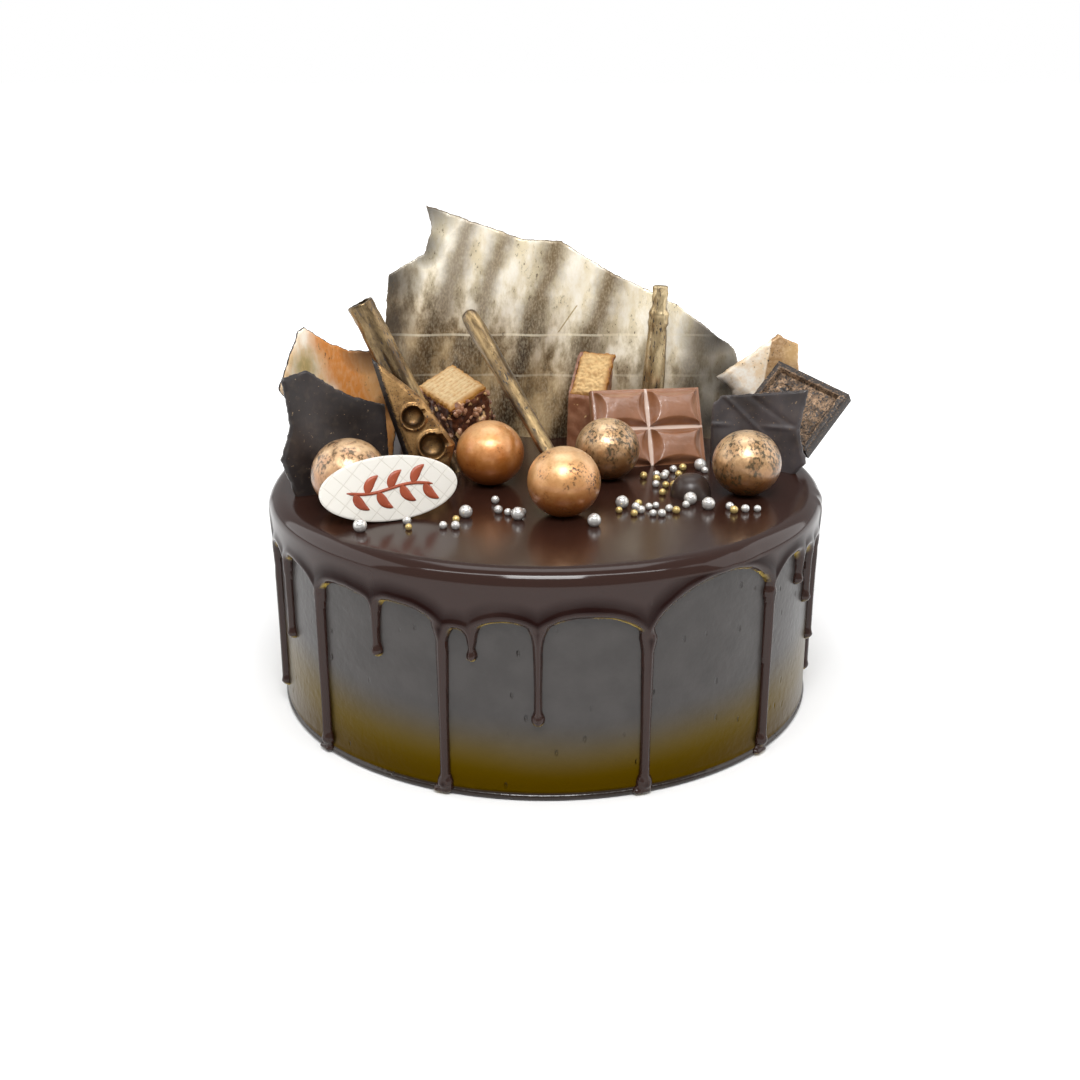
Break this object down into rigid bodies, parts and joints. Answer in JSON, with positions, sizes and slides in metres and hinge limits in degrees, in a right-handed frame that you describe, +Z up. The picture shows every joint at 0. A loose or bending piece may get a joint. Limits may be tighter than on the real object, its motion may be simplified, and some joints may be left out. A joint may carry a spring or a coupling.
{
  "type": "chocolate cake",
  "caption": "A round chocolate cake under a dripping dark glaze, topped with gold painted chocolate shards, rolled sticks, wafers, a chocolate bar piece, dusted balls and sugar pearls.",
  "frame": {"origin": "Centre of the round base, where the cake stands", "axes": "+Z up, shown front along -Y, +X to the right as seen from the front"},
  "size_m": [0.1969, 0.1845, 0.1551],
  "materials": {
    "coat": "gloss",
    "glaze": "gloss",
    "gold": "brushed",
    "bronze": "brushed",
    "dust": "satin",
    "dark_chocolate": "satin",
    "milk_chocolate": "satin",
    "wafer": "matte",
    "nut_coat": "satin",
    "sugar": "matte"
  },
  "bodies": {
    "root": {"cake": "coat", "glaze": "glaze", "ball_left": "dust", "ball_centre_left": "dust", "ball_front": "dust", "ball_centre_right": "dust", "ball_right": "dust", "gold_shard": "gold", "bronze_shard": "bronze", "copper_shard": "bronze", "dark_shard_left": "dark_chocolate", "dark_shard_right": "dark_chocolate", "stick_left": "gold", "stick_centre": "gold", "stick_right": "gold", "cup_bar": "gold", "wafer_left_core": "wafer", "wafer_left_coat": "nut_coat", "wafer_right_core": "wafer", "wafer_right_coat": "nut_coat", "milk_bar": "milk_chocolate", "dark_tablet": "dark_chocolate", "plaque": "sugar", "ganache_drop": "dark_chocolate"}
  },
  "joints": []
}
